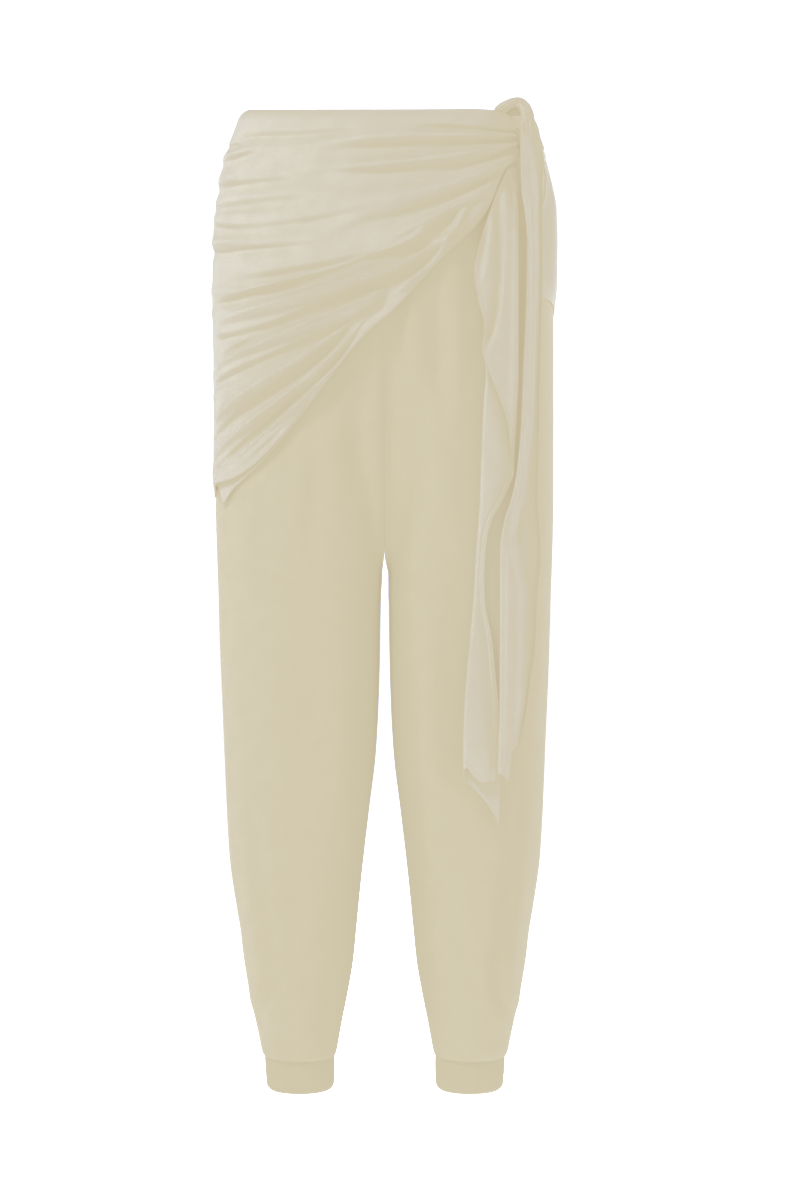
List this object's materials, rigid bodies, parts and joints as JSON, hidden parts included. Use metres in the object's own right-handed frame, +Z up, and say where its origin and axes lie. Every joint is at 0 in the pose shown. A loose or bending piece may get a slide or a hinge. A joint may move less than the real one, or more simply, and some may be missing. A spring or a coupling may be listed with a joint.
{
  "type": "side-tied wrap harem trousers",
  "caption": "Loose tapered jersey trousers with fitted ankle cuffs and a draped wrap tied at the hip, its folded ends hanging down the thigh.",
  "frame": {"origin": "centre of the waist opening, level with its rim at the sides", "axes": "+Z up out of the waist, -Y towards the front, +X towards the wearer's left"},
  "size_m": [0.3433, 0.2725, 0.9891],
  "materials": {
    "leg_jersey": "matt fine knit",
    "waistband_jersey": "matt fine knit",
    "cuff_jersey": "matt fine knit, doubled",
    "wrap_jersey": "matt fine knit"
  },
  "bodies": {
    "root": {"back_left_leg": "leg_jersey", "back_right_leg": "leg_jersey", "front_left_leg": "leg_jersey", "front_right_leg": "leg_jersey", "waistband": "waistband_jersey", "cuff_left": "cuff_jersey", "cuff_right": "cuff_jersey", "wrap_front": "wrap_jersey", "wrap_back": "wrap_jersey", "wrap_under_layer": "wrap_jersey", "knot_strand": "wrap_jersey", "tail_front": "wrap_jersey", "tail_side": "wrap_jersey"}
  },
  "joints": []
}
